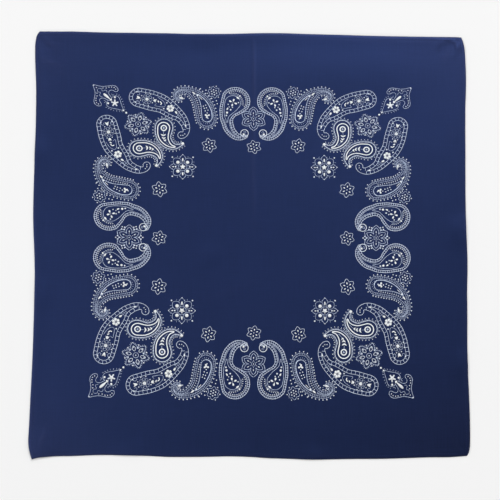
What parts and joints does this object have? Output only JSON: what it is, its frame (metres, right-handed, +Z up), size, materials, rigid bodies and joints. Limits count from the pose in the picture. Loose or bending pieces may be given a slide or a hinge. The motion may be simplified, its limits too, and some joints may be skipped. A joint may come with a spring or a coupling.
{
  "type": "bandana",
  "caption": "Square cotton bandana with a paisley and flower border print, hemmed on all sides and laid out flat, face up.",
  "frame": {"origin": "middle of the footprint, on the surface that the bandana lies on", "axes": "+X towards the right edge, +Y towards the upper edge, +Z up out of the printed face"},
  "size_m": [0.5608, 0.5434, 0.0049],
  "materials": {
    "cloth": "matte plain weave",
    "hem": "matte plain weave",
    "print": "matte printed cotton",
    "thread": "matte sewing thread"
  },
  "bodies": {
    "root": {"cloth_panel": "cloth", "hem_top": "hem", "hem_bottom": "hem", "hem_left": "hem", "hem_right": "hem"}
  },
  "joints": []
}
